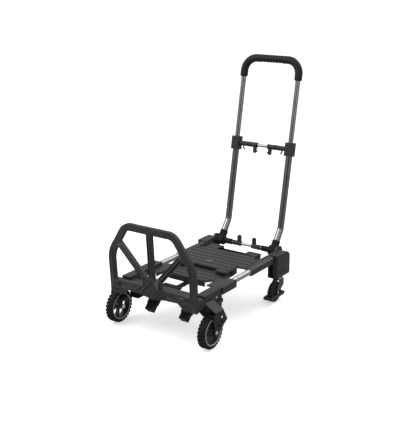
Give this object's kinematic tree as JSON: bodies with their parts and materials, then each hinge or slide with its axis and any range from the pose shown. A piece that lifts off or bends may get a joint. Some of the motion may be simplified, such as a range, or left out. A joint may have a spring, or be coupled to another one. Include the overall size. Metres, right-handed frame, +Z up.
{
  "type": "convertible hand truck",
  "caption": "Folding hand truck that also works as a platform cart: telescoping deck, folding front gate, wheels in front, swivel casters behind, folding telescoping handle.",
  "frame": {"origin": "on the floor, under the middle of the whole cart with its platform extended, handle up and extended, and gate upright", "axes": "+Z up; +Y from the gate end to the handle end; +X to the right of someone who faces the gate from the front, across the cart"},
  "size_m": [0.514, 0.9327, 1.0354],
  "materials": {
    "dark_plastic": "fine grain",
    "deck_plastic": "fine ribs",
    "black_rubber": "soft matt",
    "tyre": "moulded tread",
    "pale_rim": "light grey moulded plastic",
    "black_steel": "black coated steel",
    "bright_steel": "zinc plated steel tube"
  },
  "bodies": {
    "rear_frame": {"rear_deck": "deck_plastic", "side_tubes": "bright_steel", "rear_block_left": "dark_plastic", "rear_block_right": "dark_plastic", "handle_pivot_pins": "bright_steel", "swivel_races": "bright_steel", "deck_screws": "bright_steel"},
    "front_frame": {"front_deck": "deck_plastic", "front_rail_left": "dark_plastic", "front_rail_right": "dark_plastic", "front_block_left": "dark_plastic", "front_block_right": "dark_plastic", "cross_bar": "dark_plastic", "lower_beam": "dark_plastic", "foot_left": "black_rubber", "foot_right": "black_rubber", "front_fork_left": "dark_plastic", "front_fork_right": "dark_plastic", "front_axles": "bright_steel", "gate_hinge_pins": "black_steel", "front_screws": "bright_steel"},
    "gate": {"gate_frame": "dark_plastic"},
    "front_wheel_left": {"front_rim_left": "pale_rim", "front_tyre_left": "tyre"},
    "front_wheel_right": {"front_rim_right": "pale_rim", "front_tyre_right": "tyre"},
    "paddle": {"slide_paddle": "dark_plastic"},
    "button_left": {"snap_button_left": "bright_steel"},
    "button_right": {"snap_button_right": "bright_steel"},
    "lower_handle": {"lower_tube_left": "bright_steel", "lower_tube_right": "bright_steel", "mid_housing_left": "dark_plastic", "mid_housing_right": "dark_plastic", "mid_rod": "bright_steel", "lower_rod": "bright_steel", "lower_arms": "dark_plastic", "housing_rivets": "bright_steel"},
    "upper_handle": {"upper_tube": "bright_steel", "tube_plugs": "dark_plastic", "grip": "black_rubber"},
    "sleeve_mid_left": {"mid_sleeve_left": "dark_plastic"},
    "sleeve_mid_right": {"mid_sleeve_right": "dark_plastic"},
    "sleeve_low_left": {"lower_sleeve_left": "dark_plastic"},
    "sleeve_low_right": {"lower_sleeve_right": "dark_plastic"},
    "swivel_left": {"caster_fork_left": "black_steel", "caster_pin_left": "bright_steel", "caster_axle_left": "bright_steel"},
    "swivel_right": {"caster_fork_right": "black_steel", "caster_pin_right": "bright_steel", "caster_axle_right": "bright_steel"},
    "caster_wheel_left": {"caster_hub_left": "pale_rim", "caster_tyre_left": "tyre"},
    "caster_wheel_right": {"caster_hub_right": "pale_rim", "caster_tyre_right": "tyre"},
    "brake_left": {"brake_pedal_left": "dark_plastic"},
    "brake_right": {"brake_pedal_right": "dark_plastic"}
  },
  "joints": [
    {"name": "platform_slide", "type": "slide", "parent": "rear_frame", "child": "front_frame", "axis": [0, 1, 0], "range_m": [0, 0.074]},
    {"name": "gate_hinge", "type": "hinge", "parent": "front_frame", "child": "gate", "pos_m": [0, -0.40712, 0.186], "axis": [1, 0, 0], "range_deg": [-93.9, 0]},
    {"name": "front_wheel_left_spin", "type": "hinge", "parent": "front_frame", "child": "front_wheel_left", "pos_m": [-0.228, -0.38012, 0.07], "axis": [1, 0, 0], "continuous": true},
    {"name": "front_wheel_right_spin", "type": "hinge", "parent": "front_frame", "child": "front_wheel_right", "pos_m": [0.228, -0.38012, 0.07], "axis": [1, 0, 0], "continuous": true},
    {"name": "slide_release_pull", "type": "slide", "parent": "front_frame", "child": "paddle", "axis": [0, -1, 0], "range_m": [0, 0.012], "stiffness_N_per_m": 500, "springref_m": -0.004},
    {"name": "snap_button_left_press", "type": "slide", "parent": "front_frame", "child": "button_left", "axis": [1, 0, 0], "range_m": [0, 0.003], "stiffness_N_per_m": 600, "springref_m": -0.003},
    {"name": "snap_button_right_press", "type": "slide", "parent": "front_frame", "child": "button_right", "axis": [-1, 0, 0], "range_m": [0, 0.003], "stiffness_N_per_m": 600, "springref_m": -0.003},
    {"name": "handle_fold", "type": "hinge", "parent": "rear_frame", "child": "lower_handle", "pos_m": [0, 0.25088, 0.2], "axis": [1, 0, 0], "range_deg": [-79.5, 78]},
    {"name": "handle_telescope", "type": "slide", "parent": "lower_handle", "child": "upper_handle", "axis": [0, 0.1822, 0.9833], "range_m": [-0.26, 0]},
    {"name": "sleeve_mid_left_pinch", "type": "slide", "parent": "lower_handle", "child": "sleeve_mid_left", "axis": [1, 0, 0], "range_m": [0, 0.008], "stiffness_N_per_m": 500, "springref_m": -0.004},
    {"name": "sleeve_mid_right_pinch", "type": "slide", "parent": "lower_handle", "child": "sleeve_mid_right", "axis": [-1, 0, 0], "range_m": [0, 0.008], "stiffness_N_per_m": 500, "springref_m": -0.004},
    {"name": "sleeve_low_left_pinch", "type": "slide", "parent": "lower_handle", "child": "sleeve_low_left", "axis": [1, 0, 0], "range_m": [0, 0.008], "stiffness_N_per_m": 500, "springref_m": -0.004},
    {"name": "sleeve_low_right_pinch", "type": "slide", "parent": "lower_handle", "child": "sleeve_low_right", "axis": [-1, 0, 0], "range_m": [0, 0.008], "stiffness_N_per_m": 500, "springref_m": -0.004},
    {"name": "caster_left_swivel", "type": "hinge", "parent": "rear_frame", "child": "swivel_left", "pos_m": [-0.198, 0.19888, 0.1], "axis": [0, 0, 1], "continuous": true},
    {"name": "caster_left_spin", "type": "hinge", "parent": "swivel_left", "child": "caster_wheel_left", "pos_m": [-0.198, 0.16488, 0.046], "axis": [1, 0, 0], "continuous": true},
    {"name": "brake_left_rock", "type": "hinge", "parent": "swivel_left", "child": "brake_left", "pos_m": [-0.198, 0.16488, 0.046], "axis": [1, 0, 0], "range_deg": [0, 12]},
    {"name": "caster_right_swivel", "type": "hinge", "parent": "rear_frame", "child": "swivel_right", "pos_m": [0.198, 0.19888, 0.1], "axis": [0, 0, 1], "continuous": true},
    {"name": "caster_right_spin", "type": "hinge", "parent": "swivel_right", "child": "caster_wheel_right", "pos_m": [0.198, 0.16488, 0.046], "axis": [1, 0, 0], "continuous": true},
    {"name": "brake_right_rock", "type": "hinge", "parent": "swivel_right", "child": "brake_right", "pos_m": [0.198, 0.16488, 0.046], "axis": [1, 0, 0], "range_deg": [0, 12]}
  ]
}
